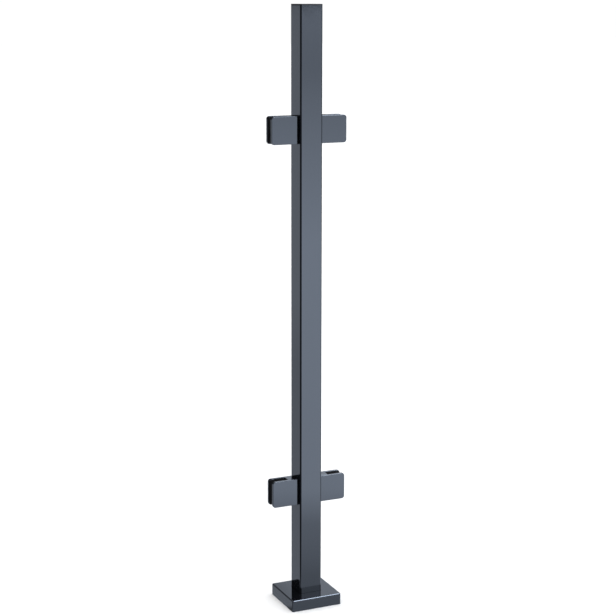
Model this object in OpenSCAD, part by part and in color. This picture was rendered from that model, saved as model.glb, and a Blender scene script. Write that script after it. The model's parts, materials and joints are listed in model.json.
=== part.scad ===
// Square mid post for glass fence and balustrade panels. A square tube stands on a base plate that is
// bolted down, a loose cover hides the plate, and four two-jaw clamps hold the glass on its left and right.
// Sizes are in millimetres. The origin is on the floor at the post's centre, +Z is up, the glass runs
// along X, and the clamps' plain front jaws face -Y.

/* [Post] */
// Side of the square tube
post_w = 40; // [36:0.5:60]
// Length of the tube, without the base plate and the cap
post_h = 1016; // [700:1:1300]
// Wall of the tube
post_wall = 2; // [1.5:0.1:3]
// Outer corner radius of the tube
post_corner_r = 1.5; // [0.5:0.1:2]

/* [End cap] */
// Thickness of the cap's flush lid
cap_lid_t = 2; // [1:0.1:4]
// Depth of the cap's plug in the tube
cap_plug_h = 16; // [10:1:30]
// Wall of the plug's hollow core
cap_core_wall = 2; // [1:0.1:4]
// Number of gripping fins around the core
cap_fins = 3; // [1:1:4]
// Thickness of a fin
cap_fin_t = 1.2; // [0.8:0.1:2]
// How far the fins stand out from the core
cap_fin_reach = 2.5; // [1:0.1:4]
// Gap between the fins and the tube's wall
cap_gap = 0.1; // [0.05:0.05:0.5]

/* [Base plate] */
// Side of the square base plate
base_w = 80; // [74:1:84]
// Thickness of the base plate
base_t = 8; // [5:0.5:10]
// Corner radius of the base plate
base_corner_r = 6; // [2:0.5:10]
// Distance between the anchor holes along each side
anchor_spacing = 60; // [58:1:64]
// Diameter of the anchor holes
anchor_hole_d = 9; // [6:0.5:11]
// Leg of the fillet weld around the tube's foot
weld_leg = 4; // [2:0.5:5]

/* [Base cover] */
// Side of the square cover
cover_w = 92; // [90:1:120]
// Height of the cover
cover_h = 20; // [18:1:40]
// Sheet thickness of the cover
cover_wall = 1.5; // [0.8:0.1:2.5]
// Outer corner radius of the cover
cover_corner_r = 3; // [2.6:0.1:6]
// Gap between the cover's opening and the tube
cover_gap = 0.3; // [0.2:0.05:1]

/* [Clamps] */
// How far a clamp stands out from the tube
clamp_l = 47.5; // [42:0.5:60]
// Height of a clamp
clamp_h = 46; // [42:0.5:60]
// Radius of a clamp's two outer corners
clamp_corner_r = 5; // [1:0.5:10]
// Centre of the lower clamps above the floor, and of the upper clamps below the top
clamp_inset = 203; // [100:1:300]
// Thickness of the back plate and of the front jaw
plate_t = 5; // [4:0.1:7]
// Length of the bridge that closes the slot beside the tube
bridge_l = 18; // [16:0.5:22]
// Thickness of the glass panel that fits between the gaskets
glass_t = 10; // [8:0.5:13]
// Distance between the two screws that close the jaw
screw_spacing = 28; // [26:1:32]

/* [Gaskets] */
// Thickness of a gasket pad
gasket_t = 2; // [1.5:0.1:4]
// Margin from a pad's edge to the edge of its plate and to the bridge
gasket_margin = 1.5; // [0.5:0.1:4]
// Diameter of the pips that key a pad to its plate
pip_d = 3; // [2:0.1:5]
// Length of the pips
pip_l = 1.5; // [1:0.1:3]
// Distance between a pad's two pips
pip_spacing = 24; // [12:1:30]

/* [Mount bolts] */
// Thread diameter of the bolt that holds a clamp on the tube
bolt_d = 6; // [5:0.5:6]
// Length of the bolt under its head
bolt_l = 25; // [20:1:26]
// Diameter of the bolt's head
bolt_head_d = 10; // [8:0.5:10]
// Height of the bolt's head
bolt_head_h = 6; // [4:0.5:6]
// Width across the flats of the bolt's hex socket
bolt_key = 5; // [3:0.5:5]
// Diameter of the rivet nut's body
nut_d = 9; // [8:0.5:9]
// Length of the rivet nut inside the tube's face
nut_l = 15; // [12:0.5:16]
// Diameter of the rivet nut's flange
nut_flange_d = 12; // [11:0.5:14]
// Thickness of the rivet nut's flange
nut_flange_t = 0.8; // [0.5:0.1:1.5]
// Length of the rivet nut's bulge behind the tube's wall
nut_bulge_l = 3; // [2:0.5:5]

/* [Jaw screws] */
// Thread diameter of a jaw screw
screw_d = 5; // [4:0.5:5]
// Diameter of a jaw screw's head
screw_head_d = 8.5; // [7:0.5:9]
// Height of a jaw screw's head
screw_head_h = 5; // [3:0.5:5]
// Width across the flats of a jaw screw's hex socket
screw_key = 4; // [2.5:0.5:4]
// Metal left in front of a jaw screw's blind bore
jaw_skin = 0.8; // [0.5:0.1:1.5]

/* [Fits] */
// Gap between flat faces that slide on each other
face_gap = 0.1; // [0.05:0.05:0.3]
// Radial gap of a bolt, screw, nut or pip in its bore
bore_gap = 0.05; // [0.02:0.01:0.1]
// Radial gap around a bolt's or screw's head in its recess
head_gap = 0.4; // [0.2:0.1:0.6]
// Depth of a bolt's or screw's head below the surface
head_sink = 0.5; // [0.2:0.1:1]

/* [Hidden] */
// Smoothness of the curves
$fn = 64;
// Overlap that makes a cut pass cleanly through a face
eps = 1;
// Share of a socket head's height that its hex socket is deep
key_depth_share = 0.5;
// Width of the chamfers on the bolts' and screws' heads and tips
thread_chamfer = 0.5;
// Sides of a hex socket
HEX = 6;
COATED = "#24262b";
WELDED = "#303236";
MOULDED = "#1b1c20";
RUBBER = "#101012";
PLATED = "#8d8f94";
BLACK_STEEL = "#2c2d30";

post_top = base_t + post_h;
total_h = post_top + cap_lid_t;
tube_bore_w = post_w - 2 * post_wall;

clamp_t = 2 * plate_t + 2 * gasket_t + glass_t;
// Half the width of the slot between the back plate and the front jaw
slot_y = clamp_t / 2 - plate_t;
// The bolt's seat, from the tube's face
bolt_seat_x = bridge_l - head_sink - bolt_head_h;
// The jaw screws' seat and tip
screw_seat_y = clamp_t / 2 - head_sink - screw_head_h;
screw_bore_y = -clamp_t / 2 + jaw_skin;
screw_tip_y = screw_bore_y + face_gap;
screw_x = bridge_l / 2;
gasket_l = clamp_l - bridge_l - 2 * gasket_margin;
gasket_h = clamp_h - 2 * gasket_margin;
pip_x = bridge_l + gasket_margin + gasket_l / 2;

// Name, side of the post (1 is right, -1 is left) and height of each clamp's centre
CLAMPS = [
    ["upper_left", -1, total_h - clamp_inset],
    ["upper_right", 1, total_h - clamp_inset],
    ["lower_left", -1, clamp_inset],
    ["lower_right", 1, clamp_inset],
];
POST_PIECES = ["post_tube", "top_cap", "base_plate", "base_weld", "base_cover"];
CLAMP_PIECES = [
    "clamp_body", "clamp_jaw", "back_gasket", "front_gasket",
    "top_screw", "bottom_screw", "mount_bolt", "rivet_nut",
];

// A square with round corners, centred on the origin
module rounded_square(side, r) {
    square([side - 2 * r, side], center = true);
    square([side, side - 2 * r], center = true);
    for (x = [-1, 1], y = [-1, 1])
        translate([x * (side / 2 - r), y * (side / 2 - r)]) circle(r);
}

// Puts a clamp piece on its side of the post and at its height
module at_clamp(clamp) {
    translate([clamp[1] * post_w / 2, 0, clamp[2]])
        mirror([clamp[1] < 0 ? 1 : 0, 0, 0]) children();
}

// Extrudes an outline that is drawn in X and Z from y0 to y1
module along_y(y0, y1) {
    translate([0, y1, 0]) rotate([90, 0, 0]) linear_extrude(y1 - y0) children();
}

// A round bar along Y at x, z
module bar_y(x, z, y0, y1, d) {
    translate([x, y1, z]) rotate([90, 0, 0]) cylinder(d = d, h = y1 - y0);
}

// A round bar along X on the clamp's axis
module bar_x(x0, x1, d) {
    translate([x0, 0, 0]) rotate([0, 90, 0]) cylinder(d = d, h = x1 - x0);
}

// Repeats a piece at z = +spacing / 2 and -spacing / 2
module above_and_below(spacing) {
    for (side = [-1, 1]) translate([0, 0, side * spacing / 2]) children();
}

// A socket head screw: its head's seat is at the origin, its head is above and its shank points down
module socket_screw(d, l, head_d, head_h, key) {
    key_depth = head_h * key_depth_share;
    difference() {
        union() {
            cylinder(d = head_d, h = head_h - thread_chamfer);
            translate([0, 0, head_h - thread_chamfer])
                cylinder(d1 = head_d, d2 = head_d - 2 * thread_chamfer, h = thread_chamfer);
            translate([0, 0, thread_chamfer - l]) cylinder(d = d, h = l);
            translate([0, 0, -l]) cylinder(d1 = d - 2 * thread_chamfer, d2 = d, h = thread_chamfer);
        }
        translate([0, 0, head_h - key_depth])
            cylinder(d = key / cos(180 / HEX), h = key_depth + eps, $fn = HEX);
    }
}

module post_tube() {
    color(COATED) difference() {
        translate([0, 0, base_t]) linear_extrude(post_h) rounded_square(post_w, post_corner_r);
        translate([0, 0, base_t - eps])
            linear_extrude(post_h + 2 * eps) square(tube_bore_w, center = true);
        for (clamp = CLAMPS)
            at_clamp(clamp) bar_x(-post_wall - eps, eps, nut_d + 2 * bore_gap);
    }
}

module top_cap() {
    core_w = tube_bore_w - 2 * cap_gap - 2 * cap_fin_reach;
    fin_pitch = cap_plug_h / (cap_fins + 1);
    color(MOULDED) translate([0, 0, post_top]) {
        linear_extrude(cap_lid_t) rounded_square(post_w, post_corner_r);
        difference() {
            union() {
                translate([0, 0, -cap_plug_h]) linear_extrude(cap_plug_h) square(core_w, center = true);
                for (i = [1:cap_fins])
                    translate([0, 0, -i * fin_pitch - cap_fin_t / 2]) linear_extrude(cap_fin_t)
                        square(tube_bore_w - 2 * cap_gap, center = true);
            }
            translate([0, 0, -cap_plug_h - eps]) linear_extrude(cap_plug_h + eps)
                square(core_w - 2 * cap_core_wall, center = true);
        }
    }
}

module base_plate() {
    color(COATED) difference() {
        linear_extrude(base_t) rounded_square(base_w, base_corner_r);
        for (x = [-1, 1], y = [-1, 1])
            translate([x * anchor_spacing / 2, y * anchor_spacing / 2, -eps])
                cylinder(d = anchor_hole_d, h = base_t + 2 * eps);
    }
}

// Section of the fillet weld, from the centre of the tube's corner radius
module weld_section() {
    polygon([[post_corner_r, 0], [post_corner_r + weld_leg, 0], [post_corner_r, weld_leg]]);
}

module base_weld() {
    corner = post_w / 2 - post_corner_r;
    color(WELDED) translate([0, 0, base_t])
        for (turn = [0:90:270]) rotate([0, 0, turn]) translate([corner, corner, 0]) {
            rotate_extrude(angle = 90) weld_section();
            rotate([90, 0, 0]) linear_extrude(2 * corner) weld_section();
        }
}

module base_cover() {
    color(COATED) difference() {
        linear_extrude(cover_h) rounded_square(cover_w, cover_corner_r);
        translate([0, 0, -eps]) linear_extrude(cover_h - cover_wall + eps)
            rounded_square(cover_w - 2 * cover_wall, cover_corner_r - cover_wall);
        linear_extrude(cover_h + eps) square(post_w + 2 * cover_gap, center = true);
    }
}

// Outline of the back plate and of the jaw: flat beside the tube, round at the two outer corners
module clamp_outline() {
    r = clamp_corner_r;
    translate([face_gap, -clamp_h / 2]) square([clamp_l - r - face_gap, clamp_h]);
    translate([face_gap, r - clamp_h / 2]) square([clamp_l - face_gap, clamp_h - 2 * r]);
    for (side = [-1, 1]) translate([clamp_l - r, side * (clamp_h / 2 - r)]) circle(r);
}

// Back plate and bridge in one casting, with the seats of the bolt, the screws and the gasket
module clamp_body() {
    color(COATED) difference() {
        union() {
            along_y(slot_y, clamp_t / 2) clamp_outline();
            translate([face_gap, face_gap - slot_y, -clamp_h / 2])
                cube([bridge_l - face_gap, clamp_t / 2 + slot_y - face_gap, clamp_h]);
        }
        bar_x(-eps, bridge_l + eps, bolt_d + 2 * bore_gap);
        bar_x(bolt_seat_x, bridge_l + eps, bolt_head_d + 2 * head_gap);
        bar_x(-eps, nut_flange_t + 2 * face_gap, nut_flange_d + 2 * head_gap);
        above_and_below(screw_spacing) {
            bar_y(screw_x, 0, -slot_y - eps, clamp_t / 2 + eps, screw_d + 2 * bore_gap);
            bar_y(screw_x, 0, screw_seat_y, clamp_t / 2 + eps, screw_head_d + 2 * head_gap);
        }
        above_and_below(pip_spacing)
            bar_y(pip_x, 0, slot_y - eps, slot_y + pip_l + bore_gap, pip_d + 2 * bore_gap);
    }
}

module clamp_jaw() {
    color(COATED) difference() {
        along_y(-clamp_t / 2, -slot_y) clamp_outline();
        above_and_below(screw_spacing)
            bar_y(screw_x, 0, screw_bore_y, -slot_y + eps, screw_d + 2 * bore_gap);
        above_and_below(pip_spacing)
            bar_y(pip_x, 0, -slot_y - pip_l - bore_gap, -slot_y + eps, pip_d + 2 * bore_gap);
    }
}

// The pad that lies on the back plate
module back_gasket() {
    color(RUBBER) {
        translate([bridge_l + gasket_margin, slot_y - gasket_t, -gasket_h / 2])
            cube([gasket_l, gasket_t, gasket_h]);
        above_and_below(pip_spacing) bar_y(pip_x, 0, slot_y - gasket_t / 2, slot_y + pip_l, pip_d);
    }
}

// The same pad, turned to lie on the jaw
module front_gasket() {
    mirror([0, 1, 0]) back_gasket();
}

module jaw_screw(side) {
    color(BLACK_STEEL) translate([screw_x, screw_seat_y, side * screw_spacing / 2]) rotate([-90, 0, 0])
        socket_screw(screw_d, screw_seat_y - screw_tip_y, screw_head_d, screw_head_h, screw_key);
}

module mount_bolt() {
    color(BLACK_STEEL) translate([bolt_seat_x + face_gap, 0, 0]) rotate([0, 90, 0])
        socket_screw(bolt_d, bolt_l, bolt_head_d, bolt_head_h - face_gap, bolt_key);
}

// Flange on the tube's face, body through the wall, and the bulge that grips the wall from inside
module rivet_nut() {
    color(PLATED) difference() {
        union() {
            bar_x(0, nut_flange_t, nut_flange_d);
            bar_x(-nut_l, nut_flange_t, nut_d);
            bar_x(-post_wall - nut_bulge_l, -post_wall, nut_flange_d);
        }
        bar_x(-nut_l - eps, nut_flange_t + eps, bolt_d + 2 * bore_gap);
    }
}

post_tube();
top_cap();
base_plate();
base_weld();
base_cover();
for (clamp = CLAMPS) {
    at_clamp(clamp) clamp_body();
    at_clamp(clamp) clamp_jaw();
    at_clamp(clamp) back_gasket();
    at_clamp(clamp) front_gasket();
    at_clamp(clamp) jaw_screw(1);
    at_clamp(clamp) jaw_screw(-1);
    at_clamp(clamp) mount_bolt();
    at_clamp(clamp) rivet_nut();
}
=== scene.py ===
"""Visual model of the square mid post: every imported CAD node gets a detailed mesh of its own."""

import json
import math

import bmesh
import bpy
from mathutils import Matrix, Vector


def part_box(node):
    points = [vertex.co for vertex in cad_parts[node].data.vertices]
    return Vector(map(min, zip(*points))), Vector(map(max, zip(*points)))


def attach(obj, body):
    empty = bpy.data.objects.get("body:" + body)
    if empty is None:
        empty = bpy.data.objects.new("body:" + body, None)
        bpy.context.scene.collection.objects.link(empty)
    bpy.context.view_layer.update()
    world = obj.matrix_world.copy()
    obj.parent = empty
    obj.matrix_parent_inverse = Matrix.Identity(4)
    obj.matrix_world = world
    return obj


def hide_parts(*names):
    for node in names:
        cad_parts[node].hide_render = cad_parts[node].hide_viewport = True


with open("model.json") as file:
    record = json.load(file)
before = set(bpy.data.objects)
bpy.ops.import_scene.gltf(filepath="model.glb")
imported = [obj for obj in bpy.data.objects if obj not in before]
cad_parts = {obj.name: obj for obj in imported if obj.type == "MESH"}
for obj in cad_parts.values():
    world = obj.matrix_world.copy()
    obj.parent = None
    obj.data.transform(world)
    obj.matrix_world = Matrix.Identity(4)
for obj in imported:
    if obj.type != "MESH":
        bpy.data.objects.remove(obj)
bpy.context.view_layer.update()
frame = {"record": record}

MM = 0.001
# Steps round a rounded corner, over a rounded edge, and round a turned part, which has to be a multiple of 4
CORNER_STEPS = 8
EDGE_STEPS = 5
TURN_STEPS = 48
LEAST_CORNER_R = 0.06
WELDED_DISTANCE = 1e-4
SMOOTH_ANGLE = math.radians(33)
# How far a cutter stands out of what it cuts, and how far a through hole's does
CUTTER_OVER = 1.0
THROUGH_OVER = 5.0

# ---------------------------------------------------------------- sizes that the CAD boxes don't hold, in mm
TUBE_WALL = 2.0
TUBE_CORNER_R = 2.7
TUBE_BREAK = 0.35
TUBE_BREAK_MIDDLE = 0.3
TUBE_BORE_R = 0.6
NUT_HOLE_D = 9.1

CAP_CORE_W = 30.8
CAP_CORE_WALL = 2.0
CAP_PLUG_H = 16.0
CAP_FINS = 3
CAP_FIN_T = 1.2
CAP_FIN_W = 35.8
# Each row is a share of a fin's thickness, and how far in from the fin's edge; None is the core
CAP_FIN_OUTLINE = ((0.5, None), (0.35, 0.15), (0.2, 0), (-0.2, 0), (-0.4, 0.3), (-0.5, None))
CAP_EDGE_R = 0.5
CAP_CORE_R = 1.0
CAP_END_R = 0.8
CAP_END_CHAMFER = 0.6
CAP_MOUTH_CHAMFER = 0.3

PLATE_CORNER_R = 6.0
PLATE_CHAMFER = 0.6
ANCHOR_SPACING = 60.0
ANCHOR_HOLE_D = 9.0

COVER_WALL = 1.5
COVER_CORNER_R = 3.0
COVER_BEND_R = 2.0
COVER_INNER_BEND_R = 0.6
COVER_LEAST_R = 0.5
COVER_OPENING_W = 40.6
COVER_OPENING_R = 2.4
COVER_BREAK = 0.25

CLAMP_OUTER_R = 5.0
CLAMP_INNER_R = 1.2
CLAMP_FACE_EDGE = 0.65
CLAMP_SLOT_EDGE = 0.5
BRIDGE_L = 18.0
BRIDGE_EDGE = 0.3
BRIDGE_CORNER_R = 0.8
BRIDGE_FOOT_GAP = 0.1
SLOT_Y = 7.0
SCREW_SPACING = 28.0
PIP_SPACING = 24.0
PIP_D = 3.0
PIP_ROOT = 0.8
PIP_CHAMFER = 0.3
PIP_HOLE_DEPTH = 1.55
PIP_BORE_D = 3.1
FLANGE_RECESS_D = 12.8
FLANGE_RECESS_T = 1.0
MOUTH_CHAMFER = 0.35

BOLT_BORE_D, BOLT_D, BOLT_HEAD_D, BOLT_RECESS_D, BOLT_KEY, BOLT_PITCH = 6.1, 6.0, 10.0, 10.8, 5.0, 1.0
BOLT_HEAD_H = 5.9
SCREW_BORE_D, SCREW_D, SCREW_HEAD_D, SCREW_RECESS_D, SCREW_KEY, SCREW_PITCH = 5.1, 5.0, 8.5, 9.3, 4.0, 0.8
SCREW_HEAD_H = 5.0
BOLT_SEAT_X = 11.5
SCREW_SEAT_Y = 6.5
SCREW_BORE_Y = -11.2
THREAD_DEPTH_SHARE = 0.55
THREAD_SPARE_ROWS = 6
TIP_L, TIP_CHAMFER = 0.6, 0.45
UNDERHEAD_SHARE = 0.99
HEAD_CHAMFER = 0.5
HEAD_FOOT_CHAMFER = 0.3
# The middle of the head's chamfer: how far in, and the share of the chamfer's height that it is under the top
HEAD_ROUNDING = (0.12, 0.3)
# The knurl starts between these heights over the seat, and ends between these under the head's chamfer
KNURL_START, KNURL_END, KNURL_DEPTH = (0.8, 0.9), (0.3, 0.2), 0.12
# A hexagon's width over corners to its width over flats
HEX_CORNER = 1.155
KEY_DEPTH_SHARE = 0.5
KEY_MOUTH_CHAMFER, KEY_MOUTH_DEPTH = 0.25, 0.3
KEY_FLOOR_SHARE, KEY_FLOOR_DEPTH = 0.8, 0.15
# A drawn head stands this far off its seat, so that two flush faces never share a plane
SEAT_GAP = 0.03

NUT_BODY_D, NUT_FLANGE_D, NUT_BULGE_L, NUT_BULGE_H, NUT_BULGE_STEPS = 9.0, 12.0, 3.0, 0.5, 8
NUT_FLANGE_CHAMFER, NUT_MOUTH_CHAMFER, NUT_END_CHAMFER = 0.25, 0.3, 0.4
NUT_RIB_DEPTH, NUT_RIB_GAP = 0.15, 0.1

GASKET_BASE_T = 1.45
GASKET_RIBS = 8
GASKET_RIB_STEPS = 6
GASKET_RIB_POWER = 0.7
GASKET_CORNER_R = 0.4
GASKET_GAP = 0.05
GASKET_TAPER_L = 1.2
# Each row is a share of the taper's length, and the share of the ribs' height there
GASKET_TAPER = ((0, 0.15), (0.4, 0.75), (1, 1.0))

WELD_STEP = 0.5
WELD_RIPPLE = 3.4
WELD_RIPPLE_SHARE = 0.06
WELD_RIPPLE_LEAN = 1.6
WELD_RIPPLE_LEAD = 0.15
WELD_BULGE_SHARE = 0.16
WELD_STEPS = 6


# ---------------------------------------------------------------- mesh tools
def outline(lo, hi, radii):
    """Points of a rectangle, counterclockwise from its lowest right corner, with a radius for each corner."""
    corners = (
        (hi[0], lo[1], -1, 1, 270),
        (hi[0], hi[1], -1, -1, 0),
        (lo[0], hi[1], 1, -1, 90),
        (lo[0], lo[1], 1, 1, 180),
    )
    points = []
    for (x, y, sx, sy, start), r in zip(corners, radii):
        for k in range(CORNER_STEPS + 1):
            a = math.radians(start + 90 * k / CORNER_STEPS)
            points.append((x + sx * r + r * math.cos(a), y + sy * r + r * math.sin(a)))
    return points


def inset_outline(lo, hi, radii, inset):
    """The same rectangle, smaller by inset on each side, with its corners to match."""
    kept = [max(r - inset, LEAST_CORNER_R) for r in radii]
    return outline((lo[0] + inset, lo[1] + inset), (hi[0] - inset, hi[1] - inset), kept)


def square_ring(half, r, z):
    return [(x, y, z) for x, y in outline((-half, -half), (half, half), [r] * 4)]


def edge_profile(start, end, edge_start, edge_end):
    """(place, inset) pairs from one flat face to the other, with a quarter round at each."""
    way = 1 if end > start else -1
    rows = []
    for k in range(EDGE_STEPS + 1):
        a = math.pi / 2 * k / EDGE_STEPS
        rows.append((start + way * edge_start * (1 - math.cos(a)), edge_start * (1 - math.sin(a))))
    for k in range(EDGE_STEPS, -1, -1):
        a = math.pi / 2 * k / EDGE_STEPS
        rows.append((end - way * edge_end * (1 - math.cos(a)), edge_end * (1 - math.sin(a))))
    return rows


def skin(rings, loop=False):
    """A closed mesh through rings of equally many points. Its ends are flat faces, or join in a loop."""
    shell = bmesh.new()
    rows = [[shell.verts.new(p) for p in ring] for ring in rings]
    for a, b in zip(rows, rows[1:] + rows[:1] if loop else rows[1:]):
        for i in range(len(a)):
            j = (i + 1) % len(a)
            shell.faces.new((a[i], a[j], b[j], b[i]))
    if not loop:
        shell.faces.new(rows[0])
        shell.faces.new(rows[-1])
    return tidied(shell)


def tidied(shell):
    bmesh.ops.remove_doubles(shell, verts=shell.verts, dist=WELDED_DISTANCE)
    bmesh.ops.dissolve_degenerate(shell, edges=shell.edges, dist=WELDED_DISTANCE)
    bmesh.ops.recalc_face_normals(shell, faces=shell.faces)
    return shell


def angles():
    """Each step round a turned part, with its angle."""
    return [(i, 2 * math.pi * i / TURN_STEPS) for i in range(TURN_STEPS)]


def at_angle(r, a, z):
    return (r * math.cos(a), r * math.sin(a), z)


def circle(r, z):
    return [at_angle(r, a, z) for _, a in angles()]


def turned(profile):
    """A round solid on the local Z axis through (place, radius) pairs."""
    return skin([circle(r, z) for z, r in profile])


def placed(shell, matrix):
    bmesh.ops.transform(shell, matrix=matrix, verts=shell.verts)
    bmesh.ops.recalc_face_normals(shell, faces=shell.faces)
    return shell


def as_object(shell, name):
    mesh = bpy.data.meshes.new(name)
    shell.to_mesh(mesh)
    shell.free()
    made = bpy.data.objects.new(name, mesh)
    bpy.context.scene.collection.objects.link(made)
    return made


def combined(shell, others, operation):
    """shell with the others cut from it or joined to it, as a new bmesh."""
    base = as_object(shell, "base")
    tools = [as_object(other, "tool") for other in others]
    for tool in tools:
        step = base.modifiers.new("step", "BOOLEAN")
        step.operation, step.solver, step.object = operation, "EXACT", tool
    bpy.context.view_layer.update()
    result = bpy.data.meshes.new_from_object(base.evaluated_get(bpy.context.evaluated_depsgraph_get()))
    made = bmesh.new()
    made.from_mesh(result)
    for used in (base, *tools):
        mesh = used.data
        bpy.data.objects.remove(used)
        bpy.data.meshes.remove(mesh)
    bpy.data.meshes.remove(result)
    return tidied(made)


def facing_y(place):
    """Matrix that turns the local Z axis to +Y, at a place."""
    return Matrix.Translation(place) @ Matrix.Rotation(math.radians(-90), 4, "X")


def facing_x(place):
    """Matrix that turns the local Z axis to +X, at a place."""
    return Matrix.Translation(place) @ Matrix.Rotation(math.radians(90), 4, "Y")


def cylinder(start, end, d):
    """A plain round solid on the local Z axis."""
    return turned([(start, d / 2), (end, d / 2)])


def bore_profile(depth, mouth, d):
    """(place, radius) pairs of a bore's cutter, from its depth up to a chamfered mouth."""
    r, c = d / 2, MOUTH_CHAMFER
    return [(depth, r), (mouth - c, r), (mouth, r + c), (mouth + CUTTER_OVER, r + c + CUTTER_OVER)]


def head_recess(start, seat, mouth, shank_d, head_d):
    """Cutter of a shank's bore on the local Z axis, and of its head's recess from the seat to the mouth."""
    shank = [(start - CUTTER_OVER, shank_d / 2), (seat, shank_d / 2)]
    return turned(shank + bore_profile(seat, mouth, head_d))


def middle(node):
    lo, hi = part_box(node)
    return (lo + hi) / 2 / MM


# ---------------------------------------------------------------- the post
def tube_mesh():
    lo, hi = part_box("post_tube")
    half, z0, z1 = hi.x / MM, lo.z / MM, hi.z / MM
    bore_half, b, middle_b = half - TUBE_WALL, TUBE_BREAK, TUBE_BREAK * TUBE_BREAK_MIDDLE
    shell = skin(
        [
            square_ring(half - b, TUBE_CORNER_R - b, z0),
            square_ring(half - middle_b, TUBE_CORNER_R - middle_b, z0 + middle_b),
            square_ring(half, TUBE_CORNER_R, z0 + b),
            square_ring(half, TUBE_CORNER_R, z1 - b),
            square_ring(half - middle_b, TUBE_CORNER_R - middle_b, z1 - middle_b),
            square_ring(half - b, TUBE_CORNER_R - b, z1),
            square_ring(bore_half + b, TUBE_BORE_R + b, z1),
            square_ring(bore_half, TUBE_BORE_R, z1 - b),
            square_ring(bore_half, TUBE_BORE_R, z0 + b),
            square_ring(bore_half + b, TUBE_BORE_R + b, z0),
        ],
        loop=True,
    )
    over = half + THROUGH_OVER
    holes = []
    for row in ("upper", "lower"):
        z = middle(f"{row}_left_rivet_nut").z
        holes.append(placed(cylinder(-over, over, NUT_HOLE_D), facing_x((0, 0, z))))
    return combined(shell, holes, "DIFFERENCE")


def cap_mesh():
    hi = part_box("top_cap")[1]
    half, top = hi.x / MM, hi.z / MM
    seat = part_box("post_tube")[1].z / MM
    core, hollow, fin = CAP_CORE_W / 2, CAP_CORE_W / 2 - CAP_CORE_WALL, CAP_FIN_W / 2
    rings = []
    for z, inset in edge_profile(top, seat, CAP_EDGE_R, TUBE_BREAK):
        rings.append(square_ring(half - inset, TUBE_CORNER_R - inset, z))
    rings.append(square_ring(core, CAP_CORE_R, seat))
    pitch = CAP_PLUG_H / (CAP_FINS + 1)
    for i in range(1, CAP_FINS + 1):
        z = seat - i * pitch
        for share, inset in CAP_FIN_OUTLINE:
            reach = core if inset is None else fin - inset
            rings.append(square_ring(reach, CAP_CORE_R, z + share * CAP_FIN_T))
    end, c, m = seat - CAP_PLUG_H, CAP_END_CHAMFER, CAP_MOUTH_CHAMFER
    for z, reach in ((end + c, core), (end, core - c), (end, hollow + m), (end + m, hollow), (seat, hollow)):
        rings.append(square_ring(reach, CAP_END_R, z))
    return skin(rings)


def base_plate_mesh():
    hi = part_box("base_plate")[1]
    half, t, c = hi.x / MM, hi.z / MM, PLATE_CHAMFER
    shell = skin(
        [
            square_ring(half - c, PLATE_CORNER_R - c, 0),
            square_ring(half, PLATE_CORNER_R, c),
            square_ring(half, PLATE_CORNER_R, t - c),
            square_ring(half - c, PLATE_CORNER_R - c, t),
        ]
    )
    r, m = ANCHOR_HOLE_D / 2, MOUTH_CHAMFER
    hole = [(-CUTTER_OVER, r + m + CUTTER_OVER), (0, r + m)] + bore_profile(m, t, ANCHOR_HOLE_D)
    holes = []
    for sx in (-1, 1):
        for sy in (-1, 1):
            at_anchor = Matrix.Translation((sx * ANCHOR_SPACING / 2, sy * ANCHOR_SPACING / 2, 0))
            holes.append(placed(turned(hole), at_anchor))
    return combined(shell, holes, "DIFFERENCE")


def weld_path(half, r):
    """(point, outward direction, distance along) round a square with round corners."""
    flat = half - r
    rows, way = [], 0.0
    sides = max(2, round(2 * flat / WELD_STEP))
    for turn in range(4):
        quarter = Matrix.Rotation(math.radians(90 * turn), 2)
        for k in range(sides):
            rows.append((quarter @ Vector((half, -flat + 2 * flat * k / sides)), quarter @ Vector((1, 0)), way))
            way += 2 * flat / sides
        for k in range(CORNER_STEPS):
            a = math.pi / 2 * k / CORNER_STEPS
            out = Vector((math.cos(a), math.sin(a)))
            rows.append((quarter @ (Vector((flat, flat)) + out * r), quarter @ out, way))
            way += math.pi / 2 * r / CORNER_STEPS
    return rows, way


def weld_mesh():
    lo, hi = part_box("base_weld")
    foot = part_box("post_tube")[1].x / MM
    z0, leg = lo.z / MM, (hi.z - lo.z) / MM
    rows, total = weld_path(foot, TUBE_CORNER_R)
    ripples = round(total / WELD_RIPPLE)
    rings = []
    for point, out, way in rows:
        ring = [(point.x, point.y, z0)]
        for k in range(WELD_STEPS + 1):
            t = k / WELD_STEPS
            bulge = WELD_BULGE_SHARE * leg * math.sin(math.pi * t)
            phase = 2 * math.pi * (ripples * way / total) + WELD_RIPPLE_LEAN * math.sin(math.pi * t)
            faded = math.sin(math.pi * min(1, t + WELD_RIPPLE_LEAD))
            ripple = 1 - WELD_RIPPLE_SHARE * (0.5 + 0.5 * math.sin(phase)) * faded
            reach = min((leg * (1 - t) + bulge) * ripple, leg)
            rise = min((leg * t + bulge) * ripple, leg)
            ring.append((point.x + out.x * reach, point.y + out.y * reach, z0 + rise))
        rings.append(ring)
    return skin(rings, loop=True)


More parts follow.
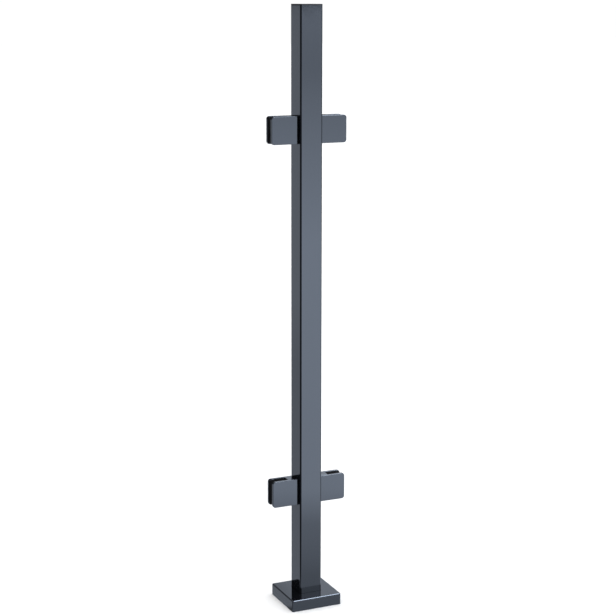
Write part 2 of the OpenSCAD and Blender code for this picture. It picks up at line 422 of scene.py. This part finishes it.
def cover_mesh():
    lo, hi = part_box("base_cover")
    half, z0, z1, wall = hi.x / MM, lo.z / MM, hi.z / MM, COVER_WALL
    r, b, bend = COVER_CORNER_R, COVER_BREAK, COVER_BEND_R
    opening = COVER_OPENING_W / 2
    rings = [square_ring(half - b, r - b, z0), square_ring(half, r, z0 + b)]
    for k in range(EDGE_STEPS + 2):
        a = math.pi / 2 * k / (EDGE_STEPS + 1)
        inset = bend * (1 - math.cos(a))
        rings.append(square_ring(half - inset, max(r - inset, COVER_LEAST_R), z1 - bend + bend * math.sin(a)))
    rings.append(square_ring(opening + b, COVER_OPENING_R + b, z1))
    rings.append(square_ring(opening, COVER_OPENING_R, z1 - b))
    rings.append(square_ring(opening, COVER_OPENING_R, z1 - wall + b))
    rings.append(square_ring(opening + b, COVER_OPENING_R + b, z1 - wall))
    inner, bend = half - wall, COVER_INNER_BEND_R
    for k in range(EDGE_STEPS + 1):
        a = math.pi / 2 * (1 - k / EDGE_STEPS)
        inset, z = bend * (1 - math.cos(a)), z1 - wall - bend + bend * math.sin(a)
        rings.append(square_ring(inner - inset, max(r - wall - inset, COVER_LEAST_R), z))
    rings.append(square_ring(inner, r - wall, z0 + b))
    rings.append(square_ring(inner + b, r - wall + b, z0))
    return skin(rings, loop=True)


# ---------------------------------------------------------------- the clamps, with X out from the post's face
def plate_mesh(x0, x1, half_z, y_face, y_slot):
    """A clamp's plate, from its outer face to its slot face."""
    radii = (CLAMP_OUTER_R, CLAMP_OUTER_R, CLAMP_INNER_R, CLAMP_INNER_R)
    rings = []
    for y, inset in edge_profile(y_face, y_slot, CLAMP_FACE_EDGE, CLAMP_SLOT_EDGE):
        rings.append([(x, y, z) for x, z in inset_outline((x0, -half_z), (x1, half_z), radii, inset)])
    return skin(rings)


def at_screw(side, y=0):
    """Place and direction of the upper or lower jaw screw, in the middle of the bridge."""
    return facing_y((BRIDGE_L / 2, y, side * SCREW_SPACING / 2))


def at_pip(x1, side):
    """Place and direction of the upper or lower pip, halfway along a slot that ends at x1."""
    return facing_y(((BRIDGE_L + x1) / 2, 0, side * PIP_SPACING / 2))


def clamp_body_mesh(x0, x1, half_z, y_face):
    plate = plate_mesh(x0, x1, half_z, y_face, SLOT_Y)
    radii = (BRIDGE_CORNER_R, BRIDGE_CORNER_R, CLAMP_INNER_R, CLAMP_INNER_R)
    rings = []
    rows = edge_profile(BRIDGE_FOOT_GAP - SLOT_Y, y_face - 2 * CLAMP_FACE_EDGE, BRIDGE_EDGE, 0)
    for y, inset in rows[: EDGE_STEPS + 1] + rows[-1:]:
        rings.append([(x, y, z) for x, z in inset_outline((x0, -half_z), (BRIDGE_L, half_z), radii, inset)])
    body = combined(plate, [skin(rings)], "UNION")
    bolt_recess = head_recess(0, BOLT_SEAT_X, BRIDGE_L, BOLT_BORE_D, BOLT_RECESS_D)
    flange_recess = cylinder(-CUTTER_OVER, FLANGE_RECESS_T, FLANGE_RECESS_D)
    cuts = [placed(bolt_recess, facing_x((0, 0, 0))), placed(flange_recess, facing_x((0, 0, 0)))]
    for side in (-1, 1):
        screw_recess = head_recess(-SLOT_Y, SCREW_SEAT_Y, y_face, SCREW_BORE_D, SCREW_RECESS_D)
        cuts.append(placed(screw_recess, at_screw(side)))
        pip_hole = cylinder(SLOT_Y - CUTTER_OVER, SLOT_Y + PIP_HOLE_DEPTH, PIP_BORE_D)
        cuts.append(placed(pip_hole, at_pip(x1, side)))
    return combined(body, cuts, "DIFFERENCE")


def clamp_jaw_mesh(x0, x1, half_z, y_face):
    plate = plate_mesh(x0, x1, half_z, y_face, -SLOT_Y)
    cuts = []
    for side in (-1, 1):
        blind = turned(bore_profile(SCREW_BORE_Y, -SLOT_Y, SCREW_BORE_D))
        cuts.append(placed(blind, at_screw(side)))
        pip_hole = cylinder(-SLOT_Y - PIP_HOLE_DEPTH, CUTTER_OVER - SLOT_Y, PIP_BORE_D)
        cuts.append(placed(pip_hole, at_pip(x1, side)))
    return combined(plate, cuts, "DIFFERENCE")


def gasket_mesh(x0, x1, half_z, thickness, depth):
    """A pad that lies on the plate at y = SLOT_Y, with upright ribs to the glass and two pips of that depth."""
    span, rib, radius = x1 - x0, thickness - GASKET_BASE_T, GASKET_CORNER_R

    def section(share):
        """Points in X and Y, with the ribs' height cut to a share."""
        points = [(x0, SLOT_Y - GASKET_GAP), (x1, SLOT_Y - GASKET_GAP)]
        points.append((x1, SLOT_Y - GASKET_BASE_T + radius))
        steps = GASKET_RIBS * GASKET_RIB_STEPS
        for k in range(steps + 1):
            x = x1 - radius - (span - 2 * radius) * k / steps
            wave = abs(math.sin(math.pi * k / GASKET_RIB_STEPS)) ** GASKET_RIB_POWER
            points.append((x, SLOT_Y - GASKET_BASE_T - rib * share * wave))
        points.append((x0, SLOT_Y - GASKET_BASE_T + radius))
        return points

    ends = [(-half_z + at * GASKET_TAPER_L, share) for at, share in GASKET_TAPER]
    ends += [(half_z - at * GASKET_TAPER_L, share) for at, share in reversed(GASKET_TAPER)]
    rings = [[(x, y, z) for x, y in section(share)] for z, share in ends]
    pips, r, tip = [], PIP_D / 2, SLOT_Y + depth
    for side in (-1, 1):
        pip = turned([(SLOT_Y - PIP_ROOT, r), (tip - PIP_CHAMFER, r), (tip, r - PIP_CHAMFER)])
        pips.append(placed(pip, facing_y(((x0 + x1) / 2, 0, side * PIP_SPACING / 2))))
    return combined(skin(rings), pips, "UNION")


def screw_mesh(d, length, head_d, head_h, key, pitch):
    """A socket head screw with its head's seat at the origin: knurled head, hex socket and helical thread."""
    steps = TURN_STEPS
    crest, root = d / 2, d / 2 - THREAD_DEPTH_SHARE * pitch
    start, end = -length + TIP_L, -0.5 * pitch
    shell = bmesh.new()

    # The thread climbs half a pitch from each row to the next, from root to crest and back
    thread = []
    for row in range(int((end - start) / (pitch / 2)) + THREAD_SPARE_ROWS):
        ring = []
        for i in range(steps + 1):
            z = start - pitch + pitch * (row / 2 + i / steps)
            r = crest if row % 2 else root
            if z <= start or z >= end:
                z, r = min(max(z, start), end), root
            ring.append(shell.verts.new(at_angle(r, 2 * math.pi * i / steps, z)))
        thread.append(ring)
    for low, high in zip(thread, thread[1:]):
        for i in range(steps):
            shell.faces.new((low[i], low[i + 1], high[i + 1], high[i]))

    def ring_at(r, z, knurl=0.0):
        radii = (r, r - knurl)
        return [shell.verts.new(at_angle(radii[i % 2], a, z)) for i, a in angles()]

    def hex_ring(z):
        points = []
        for _, a in angles():
            within = (a + math.pi / 6) % (math.pi / 3) - math.pi / 6
            points.append(shell.verts.new(at_angle(key / 2 / math.cos(within), a, z)))
        return points

    def joined(rings):
        for a, b in zip(rings, rings[1:]):
            for i in range(steps):
                j = (i + 1) % steps
                shell.faces.new((a[i], a[j], b[j], b[i]))

    tip = [ring_at(root - TIP_CHAMFER, -length), ring_at(root, start)]
    joined(tip)
    shell.faces.new(tip[0])
    c, top, half, foot = HEAD_CHAMFER, head_h, head_d / 2, HEAD_FOOT_CHAMFER
    floor = top - head_h * KEY_DEPTH_SHARE
    head = [
        ring_at(root, end),
        ring_at(crest * UNDERHEAD_SHARE, SEAT_GAP),
        ring_at(half - foot, SEAT_GAP),
        ring_at(half, foot),
        ring_at(half, KNURL_START[0]),
        ring_at(half, KNURL_START[1], KNURL_DEPTH),
        ring_at(half, top - c - KNURL_END[0], KNURL_DEPTH),
        ring_at(half, top - c - KNURL_END[1]),
        ring_at(half - HEAD_ROUNDING[0], top - HEAD_ROUNDING[1] * c),
        ring_at(half - c, top),
        ring_at(key / 2 * HEX_CORNER + KEY_MOUTH_CHAMFER, top),
        hex_ring(top - KEY_MOUTH_DEPTH),
        hex_ring(floor),
        ring_at(key / 2 * KEY_FLOOR_SHARE, floor - KEY_FLOOR_DEPTH),
    ]
    joined(head)
    shell.faces.new(head[-1])
    return tidied(shell)


def nut_mesh(reach, inside):
    """A rivet nut on the local Z axis: its flange is on the tube's face at z = 0, its bulge behind the wall."""
    body, flange, hole = NUT_BODY_D / 2, NUT_FLANGE_D / 2, BOLT_BORE_D / 2
    waist, wall, bulge_end = flange - NUT_BULGE_H, -TUBE_WALL, -TUBE_WALL - NUT_BULGE_L
    chamfer, m, c = NUT_FLANGE_CHAMFER, NUT_MOUTH_CHAMFER, NUT_END_CHAMFER

    def ribbed(z):
        radii = (body, body, body - NUT_RIB_DEPTH, body - NUT_RIB_DEPTH)
        return [at_angle(radii[i % 4], a, z) for i, a in angles()]

    rings = [circle(hole + m, reach), circle(flange - chamfer, reach), circle(flange, reach - chamfer)]
    rings += [circle(flange, 0), circle(body, 0), ribbed(-NUT_RIB_GAP), ribbed(wall + NUT_RIB_GAP)]
    rings += [circle(body, wall), circle(waist, wall)]
    for k in range(1, NUT_BULGE_STEPS):
        a = math.pi * k / NUT_BULGE_STEPS
        rings.append(circle(waist + NUT_BULGE_H * math.sin(a), wall - NUT_BULGE_L * (1 - math.cos(a)) / 2))
    rings += [circle(waist, bulge_end), circle(body, bulge_end - c), circle(body, -inside + c)]
    rings += [circle(body - c, -inside), circle(hole + m, -inside), circle(hole, -inside + m)]
    rings += [circle(hole, reach - m)]
    return skin(rings, loop=True)


# ---------------------------------------------------------------- materials
# The noise levels between which a colour or a roughness changes
CLOUDS, COAT_SMUDGES, COAT_SCUFFS, BLOOM = (0.3, 0.7), (0.4, 0.75), (0.6, 0.85), (0.35, 0.75)
COAT_SMUDGE_ROUGHNESS, COAT_SCUFF_ROUGHNESS, METAL_ROUGHNESS_SPAN = 0.03, 0.06, 0.14
COAT_SCUFF_DEPTH = 0.002
COAT_SCUFF_BUMP, FINE_BUMP = 0.5, 0.6
COAT_TINT = (0.855, 0.92, 1.0, 1)


def shader(name):
    made = bpy.data.materials.new(name)
    made.use_nodes = True
    tree = made.node_tree
    return made, tree, tree.nodes["Principled BSDF"]


def linked(tree, kind, inputs=None, **settings):
    """A new node with its settings, and each named input linked to a socket or set to a value."""
    node = tree.nodes.new(kind)
    for key, value in settings.items():
        setattr(node, key, value)
    for key, value in (inputs or {}).items():
        if isinstance(value, bpy.types.NodeSocket):
            tree.links.new(value, node.inputs[key])
        else:
            node.inputs[key].default_value = value
    return node


def noise(tree, place, scale, detail=3.0, roughness=0.55, stretch=(1, 1, 1)):
    """A noise in metres: scale is how many features there are in a metre."""
    mapped = linked(tree, "ShaderNodeMapping", {"Vector": place, "Scale": stretch})
    node = linked(
        tree,
        "ShaderNodeTexNoise",
        {"Vector": mapped.outputs[0], "Scale": scale, "Detail": detail, "Roughness": roughness},
    )
    return node.outputs["Fac"]


def ranged(tree, value, low, high, to_low, to_high):
    node = linked(
        tree,
        "ShaderNodeMapRange",
        {"Value": value, "From Min": low, "From Max": high, "To Min": to_low, "To Max": to_high},
    )
    return node.outputs[0]


def tinted(tree, value, low, high, dark, light):
    """A colour between dark and light as value goes from low to high."""
    node = tree.nodes.new("ShaderNodeMix")
    node.data_type = "RGBA"
    tree.links.new(ranged(tree, value, low, high, 0, 1), node.inputs["Factor"])
    node.inputs["A"].default_value = (*dark, 1)
    node.inputs["B"].default_value = (*light, 1)
    return node.outputs["Result"]


def bumped(tree, height, distance, strength=1.0, normal=None):
    inputs = {"Height": height, "Distance": distance, "Strength": strength}
    if normal is not None:
        inputs["Normal"] = normal
    return linked(tree, "ShaderNodeBump", inputs).outputs[0]


def math_of(tree, operation, a, b):
    return linked(tree, "ShaderNodeMath", {0: a, 1: b}, operation=operation).outputs[0]


def painted(principled, **sockets):
    """Links each socket to the shader's input of that name, with a space for each underscore."""
    for name, socket in sockets.items():
        principled.id_data.links.new(socket, principled.inputs[name.replace("_", " ")])


def coat_material(name, dark, light, gloss, peel, grain=(1, 1, 1)):
    """Glossy black coat: clouded colour, smudged gloss, faint orange peel, and scuffs along the grain."""
    made, tree, principled = shader(name)
    place = linked(tree, "ShaderNodeTexCoord").outputs["Object"]
    clouds = noise(tree, place, scale=9.0, detail=4.0)
    smudges = noise(tree, place, scale=42.0, detail=5.0, roughness=0.6)
    scuffs = noise(tree, place, scale=900.0, detail=2.0, roughness=0.5, stretch=grain)
    orange_peel = noise(tree, place, scale=620.0, detail=1.0)
    smudged = ranged(tree, smudges, *COAT_SMUDGES, 0, COAT_SMUDGE_ROUGHNESS)
    scuffed = ranged(tree, scuffs, *COAT_SCUFFS, gloss, gloss + COAT_SCUFF_ROUGHNESS)
    soft = bumped(tree, orange_peel, peel * MM)
    painted(
        principled,
        Base_Color=tinted(tree, clouds, *CLOUDS, dark, light),
        Roughness=math_of(tree, "ADD", smudged, scuffed),
        Normal=bumped(tree, scuffs, COAT_SCUFF_DEPTH * MM, COAT_SCUFF_BUMP, soft),
    )
    principled.inputs["Specular Tint"].default_value = COAT_TINT
    return made


def matte_material(name, dark, light, tones, patches, grain, rough, specular):
    """Rubber or moulded plastic: clouded colour and roughness, and a fine grain that is that many mm deep."""
    made, tree, principled = shader(name)
    place = linked(tree, "ShaderNodeTexCoord").outputs["Object"]
    clouds = noise(tree, place, **patches)
    depth, spots = grain
    painted(
        principled,
        Base_Color=tinted(tree, clouds, *tones, dark, light),
        Roughness=ranged(tree, clouds, *CLOUDS, *rough),
        Normal=bumped(tree, noise(tree, place, **spots), depth * MM, FINE_BUMP),
    )
    principled.inputs["Specular IOR Level"].default_value = specular
    return made


def metal_material(name, dark, light, rough, machined):
    """Plated or blackened steel, mottled, with a machined grain that is that many mm deep."""
    made, tree, principled = shader(name)
    place = linked(tree, "ShaderNodeTexCoord").outputs["Object"]
    mottle = noise(tree, place, scale=260.0, detail=4.0, roughness=0.6)
    fine = noise(tree, place, scale=3000.0, detail=2.0)
    painted(
        principled,
        Base_Color=tinted(tree, mottle, *CLOUDS, dark, light),
        Roughness=ranged(tree, mottle, *CLOUDS, rough, rough + METAL_ROUGHNESS_SPAN),
        Normal=bumped(tree, fine, machined * MM, FINE_BUMP),
    )
    principled.inputs["Metallic"].default_value = 1.0
    return made


POST_BLACK = {"dark": (0.0013, 0.0015, 0.0022), "light": (0.0026, 0.003, 0.0042)}
CLAMP_BLACK = {"dark": (0.0013, 0.0015, 0.002), "light": (0.0028, 0.0032, 0.0044)}
WELD_BLACK = {"dark": (0.004, 0.0045, 0.006), "light": (0.012, 0.012, 0.014)}
MATERIALS = {
    "coat": coat_material("post_coat", **POST_BLACK, gloss=0.05, peel=0.008, grain=(1, 1, 0.04)),
    "cover_coat": coat_material("cover_coat", **POST_BLACK, gloss=0.035, peel=0.004, grain=(1, 0.05, 1)),
    "clamp_coat": coat_material("clamp_coat", **CLAMP_BLACK, gloss=0.06, peel=0.01, grain=(0.05, 1, 1)),
    "weld": coat_material("coated_weld", **WELD_BLACK, gloss=0.34, peel=0.05),
    "cap_plastic": matte_material(
        "moulded_cap",
        dark=(0.006, 0.0065, 0.008),
        light=(0.012, 0.0125, 0.015),
        tones=CLOUDS,
        patches={"scale": 30.0, "detail": 3.0},
        grain=(0.02, {"scale": 1500.0, "detail": 2.0, "roughness": 0.6}),
        rough=(0.52, 0.6),
        specular=0.16,
    ),
    "rubber": matte_material(
        "rubber_pad",
        dark=(0.003, 0.003, 0.0035),
        light=(0.008, 0.008, 0.0085),
        tones=BLOOM,
        patches={"scale": 60.0, "detail": 4.0},
        grain=(0.03, {"scale": 2600.0, "detail": 2.0}),
        rough=(0.55, 0.75),
        specular=0.15,
    ),
    "black_screw": metal_material(
        "black_oxide", dark=(0.035, 0.036, 0.04), light=(0.075, 0.075, 0.08), rough=0.28, machined=0.006
    ),
    "plated_nut": metal_material(
        "zinc_plate", dark=(0.5, 0.51, 0.53), light=(0.68, 0.69, 0.7), rough=0.24, machined=0.005
    ),
}
SLOT_OF = {
    "post_tube": "coat",
    "top_cap": "cap_plastic",
    "base_plate": "coat",
    "base_weld": "weld",
    "base_cover": "cover_coat",
    "clamp_body": "clamp_coat",
    "clamp_jaw": "clamp_coat",
    "back_gasket": "rubber",
    "front_gasket": "rubber",
    "top_screw": "black_screw",
    "bottom_screw": "black_screw",
    "mount_bolt": "black_screw",
    "rivet_nut": "plated_nut",
}
BODY_OF = {node: body for body, nodes in frame["record"]["behaviour"]["bodies"].items() for node in nodes}


def finish_piece(shell, name, node, kind):
    """Turns millimetres into a piece in metres that stands for its CAD node, and rides on the node's body."""
    placed(shell, Matrix.Scale(MM, 4))
    piece = as_object(shell, name)
    mesh = piece.data
    mesh.shade_smooth()
    mesh.set_sharp_from_angle(angle=SMOOTH_ANGLE)
    normals = piece.modifiers.new("weighted_normals", "WEIGHTED_NORMAL")
    normals.keep_sharp = True
    slot = SLOT_OF[kind]
    mesh.materials.append(MATERIALS[slot])
    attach(piece, BODY_OF[node])
    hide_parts(node)
    return piece


# ---------------------------------------------------------------- assembly
for kind, build in (
    ("post_tube", tube_mesh),
    ("top_cap", cap_mesh),
    ("base_plate", base_plate_mesh),
    ("base_weld", weld_mesh),
    ("base_cover", cover_mesh),
):
    finish_piece(build(), f"{kind}_look", kind, kind)

face_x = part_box("post_tube")[1].x / MM
plate_lo, plate_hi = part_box("upper_right_clamp_body")
plate_x0, plate_x1 = plate_lo.x / MM - face_x, plate_hi.x / MM - face_x
plate_half_z, plate_y = (plate_hi.z - plate_lo.z) / 2 / MM, plate_hi.y / MM
pad_lo, pad_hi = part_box("upper_right_back_gasket")
bolt_lo, bolt_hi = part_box("upper_right_mount_bolt")
screw_lo, screw_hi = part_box("upper_right_top_screw")
nut_lo, nut_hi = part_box("upper_right_rivet_nut")
bolt_seat = bolt_hi.x / MM - face_x - BOLT_HEAD_H
screw_seat = screw_hi.y / MM - SCREW_HEAD_H


def pad_mesh():
    return gasket_mesh(
        pad_lo.x / MM - face_x,
        pad_hi.x / MM - face_x,
        (pad_hi.z - pad_lo.z) / 2 / MM,
        SLOT_Y - pad_lo.y / MM,
        pad_hi.y / MM - SLOT_Y,
    )


def jaw_screw_mesh(side):
    length = screw_seat - screw_lo.y / MM
    made = screw_mesh(SCREW_D, length, SCREW_HEAD_D, SCREW_HEAD_H, SCREW_KEY, SCREW_PITCH)
    return placed(made, at_screw(side, screw_seat))


def bolt_mesh():
    length = bolt_seat + face_x - bolt_lo.x / MM
    made = screw_mesh(BOLT_D, length, BOLT_HEAD_D, BOLT_HEAD_H, BOLT_KEY, BOLT_PITCH)
    return placed(made, facing_x((bolt_seat, 0, 0)))


def rivet_nut_mesh():
    return placed(nut_mesh(nut_hi.x / MM - face_x, face_x - nut_lo.x / MM), facing_x((0, 0, 0)))


CLAMP_MESHES = {
    "clamp_body": clamp_body_mesh(plate_x0, plate_x1, plate_half_z, plate_y),
    "clamp_jaw": clamp_jaw_mesh(plate_x0, plate_x1, plate_half_z, -plate_y),
    "back_gasket": pad_mesh(),
    "front_gasket": placed(pad_mesh(), Matrix.Diagonal((1, -1, 1, 1))),
    "top_screw": jaw_screw_mesh(1),
    "bottom_screw": jaw_screw_mesh(-1),
    "mount_bolt": bolt_mesh(),
    "rivet_nut": rivet_nut_mesh(),
}
for row in ("upper", "lower"):
    for side_name, side in (("left", -1), ("right", 1)):
        clamp = f"{row}_{side_name}"
        z = middle(f"{clamp}_clamp_body").z
        at_clamp = Matrix.Translation((side * face_x, 0, z)) @ Matrix.Diagonal((side, 1, 1, 1))
        for kind, shape in CLAMP_MESHES.items():
            node = f"{clamp}_{kind}"
            finish_piece(placed(shape.copy(), at_clamp), f"{node}_look", node, kind)
for shape in CLAMP_MESHES.values():
    shape.free()

# ---------------------------------------------------------------- camera at the photograph's angle
YAW, PITCH, ROLL = math.radians(24.42), math.radians(11.53), math.radians(0.077)
CAMERA_PLACE = (-1.0404, -2.2980, 1.0365)
FOCAL_LENGTH, SENSOR_WIDTH, CLIP_END = 89.04, 36, 100
lens = bpy.data.cameras.new("camera")
lens.lens, lens.sensor_width, lens.clip_end = FOCAL_LENGTH, SENSOR_WIDTH, CLIP_END
camera = bpy.data.objects.new("camera", lens)
bpy.context.scene.collection.objects.link(camera)
ahead = Vector((math.sin(YAW) * math.cos(PITCH), math.cos(YAW) * math.cos(PITCH), -math.sin(PITCH)))
camera.location = CAMERA_PLACE
camera.rotation_mode = "QUATERNION"
camera.rotation_quaternion = ahead.to_track_quat("-Z", "Y") @ Matrix.Rotation(ROLL, 4, "Z").to_quaternion()
bpy.context.scene.camera = camera


# ---------------------------------------------------------------- pale floor and soft studio light
def level_sheet(name, half, z):
    mesh = bpy.data.meshes.new(name)
    corners = [(-half, -half, z), (half, -half, z), (half, half, z), (-half, half, z)]
    mesh.from_pydata(corners, [], [(0, 1, 2, 3)])
    sheet = bpy.data.objects.new(name, mesh)
    bpy.context.scene.collection.objects.link(sheet)
    return sheet


def hidden_from(obj, *rays):
    for kind in rays:
        setattr(obj, f"visible_{kind}", False)


def toward(azimuth):
    """Level direction with that azimuth: 0 is -Y, and 90 is +X."""
    return (math.sin(math.radians(azimuth)), -math.cos(math.radians(azimuth)), 0)


def vector_math(tree, operation, *vectors):
    return linked(tree, "ShaderNodeVectorMath", dict(enumerate(vectors)), operation=operation).outputs


def dotted(tree, place, direction):
    return vector_math(tree, "DOT_PRODUCT", place, direction)["Value"]


def lobe(tree, place, azimuth, inner, outer, apex=0.1):
    """1 within inner degrees of the azimuth, and 0 past outer, as seen from apex metres behind the post."""
    away = vector_math(tree, "ADD", place, Vector(toward(azimuth)) * apex)["Vector"]
    aimed = vector_math(tree, "NORMALIZE", away)["Vector"]
    low, high = math.cos(math.radians(outer)), math.cos(math.radians(inner))
    inputs = {"Value": dotted(tree, aimed, toward(azimuth)), "From Min": low, "From Max": high}
    return linked(tree, "ShaderNodeMapRange", inputs, interpolation_type="SMOOTHERSTEP").outputs[0]


def blended(tree, share, low, high):
    """low where share is 0, and high where it is 1; each is a socket or a number."""
    node = tree.nodes.new("ShaderNodeMix")
    for key, value in (("Factor", share), ("A", low), ("B", high)):
        if isinstance(value, bpy.types.NodeSocket):
            tree.links.new(value, node.inputs[key])
        else:
            node.inputs[key].default_value = value
    return node.outputs["Result"]


def looked_up(tree, value, table):
    """The table's number at a value: its rows hold rising values with their numbers."""
    first, last, top = table[0][0], table[-1][0], max(number for at, number in table)
    ramp = linked(tree, "ShaderNodeValToRGB", {"Fac": ranged(tree, value, first, last, 0, 1)})
    marks = ramp.color_ramp.elements
    while len(marks) < len(table):
        marks.new(0.5)
    for mark, (at, number) in zip(list(marks), table):
        mark.position = (at - first) / (last - first)
        mark.color = (number / top,) * 3 + (1,)
    grey = linked(tree, "ShaderNodeRGBToBW", {"Color": ramp.outputs["Color"]}).outputs[0]
    return ranged(tree, grey, 0, 1, 0, top)


def corridor(tree, place, azimuth, inner=9, outer=16, apex=0.5):
    """A lobe on its own side of the post only, nearly as wide near the post as the object is."""
    ahead_only = ranged(tree, dotted(tree, place, toward(azimuth)), 0, CORRIDOR_START, 0, 1)
    return math_of(tree, "MULTIPLY", lobe(tree, place, azimuth, inner, outer, apex), ahead_only)


# The floor: metres from the middle to a side, grey, and roughness
FLOOR_HALF, FLOOR_GREY, FLOOR_ROUGHNESS = 30.0, 0.85, 0.9
# What the gloss shows below the horizon: a panel that only reflections see. It has a wide pool of light in
# front on the right, a paler one behind on the left, narrow ones on two other sides,
# and shade in front on the left
PANEL_HALF, PANEL_Z = 400.0, -0.004
# Metres in front of the post over which a pool begins
CORRIDOR_START = 0.02
# Azimuth of the middle in degrees, and what the lobe takes: degrees to its inner and outer edges, and its apex
POOL_AZIMUTH, PALE_AZIMUTH = 24.4, -155.6
SIDE_POOLS = ((47, (5, 9, 0.4)), (134, (6, 11, 0.4)))
SHADE_LOBE = (-68, 48, 56)
# Each of these tables has a distance from the post in metres, and the radiance there
POOL = ((0.05, 1.7), (0.16, 1.9), (0.44, 2.85), (0.66, 4.6), (4.0, 5.15), (20.0, 3.0), (200.0, 3.9))
PALE_POOL = ((0.05, 0.78), (1.8, 0.7), (2.8, 0.87), (200.0, 0.84))
SIDE_POOL, SHADE, GLOW = 1.6, 0.16, 0.6
# Radiance of the sky by the height of its direction, behind on the right and elsewhere
SKY_BEHIND = ((0, 0.05), (0.12, 0.25), (0.29, 1.3), (0.42, 1.1), (0.8, 1.9))
SKY_ELSEWHERE = ((0, 0.05), (0.42, 0.12), (0.8, 1.9))
# Share of the first by the X of the direction
SKY_SHARE = ((-0.6, 0.6), (-0.5, 0), (0.31, 0), (0.385, 1))
LIGHT_TINT = (0.79, 0.865, 1.0, 1)
BACKDROP = 1.02

floor = level_sheet("floor", FLOOR_HALF, 0)
floor_paint, _, floor_shader = shader("pale_floor")
floor_shader.inputs["Base Color"].default_value = (FLOOR_GREY, FLOOR_GREY, FLOOR_GREY, 1)
floor_shader.inputs["Roughness"].default_value = FLOOR_ROUGHNESS
floor.data.materials.append(floor_paint)
hidden_from(floor, "glossy")

gloss_floor = level_sheet("gloss_floor", PANEL_HALF, PANEL_Z)
hidden_from(gloss_floor, "camera", "diffuse", "transmission", "volume_scatter", "shadow")
pool_paint, tree, replaced = shader("light_pools")
tree.nodes.remove(replaced)
pool_paint.cycles.emission_sampling = "NONE"
place = linked(tree, "ShaderNodeTexCoord").outputs["Object"]
distance = vector_math(tree, "LENGTH", place)["Value"]
decades = math_of(tree, "LOGARITHM", distance, 10.0)
glow = GLOW
for azimuth, edges in SIDE_POOLS:
    glow = blended(tree, corridor(tree, place, azimuth, *edges), glow, SIDE_POOL)
glow = blended(tree, lobe(tree, place, *SHADE_LOBE), glow, SHADE)
for azimuth, table in ((PALE_AZIMUTH, PALE_POOL), (POOL_AZIMUTH, POOL)):
    logged = [(math.log10(reach), number) for reach, number in table]
    glow = blended(tree, corridor(tree, place, azimuth), glow, looked_up(tree, decades, logged))
lamp = linked(tree, "ShaderNodeEmission", {"Color": LIGHT_TINT, "Strength": glow})
tree.links.new(lamp.outputs[0], tree.nodes["Material Output"].inputs["Surface"])
gloss_floor.data.materials.append(pool_paint)

# Above the horizon: grey walls under a bright soft ceiling in reflections, and plain white for the camera
world = bpy.data.worlds.new("studio")
bpy.context.scene.world = world
world.use_nodes = True
sky = world.node_tree
upward = linked(sky, "ShaderNodeTexCoord").outputs["Generated"]
parts = linked(sky, "ShaderNodeSeparateXYZ", {"Vector": upward}).outputs
ceiling = blended(
    sky,
    looked_up(sky, parts["X"], SKY_SHARE),
    looked_up(sky, parts["Z"], SKY_ELSEWHERE),
    looked_up(sky, parts["Z"], SKY_BEHIND),
)
ray = linked(sky, "ShaderNodeLightPath").outputs
background = sky.nodes["Background"].inputs
sky.links.new(tinted(sky, ray["Is Glossy Ray"], 0, 1, (1, 1, 1), LIGHT_TINT[:3]), background["Color"])
sky.links.new(blended(sky, ray["Is Camera Ray"], ceiling, BACKDROP), background["Strength"])


def softbox(name, place, aim, size, radiance):
    """A rectangular light whose face has that radiance. Only the gloss sees it."""
    light = bpy.data.lights.new(name, "AREA")
    light.shape = "RECTANGLE"
    light.size, light.size_y = size
    light.energy = radiance * math.pi * size[0] * size[1]
    light.color = LIGHT_TINT[:3]
    box = bpy.data.objects.new(name, light)
    bpy.context.scene.collection.objects.link(box)
    box.location = place
    box.rotation_mode = "QUATERNION"
    box.rotation_quaternion = (Vector(aim) - Vector(place)).to_track_quat("-Z", "Y")
    hidden_from(box, "camera", "diffuse")


softbox("overhead", place=(0.9, -0.45, 2.6), aim=(0, 0, 0.5), size=(1.6, 1.6), radiance=30.0)
softbox("front_card", place=(1.735, -3.83, 1.95), aim=(0, 0, 0.03), size=(1.8, 1.7), radiance=6.5)

bpy.context.scene.view_settings.view_transform = "Standard"
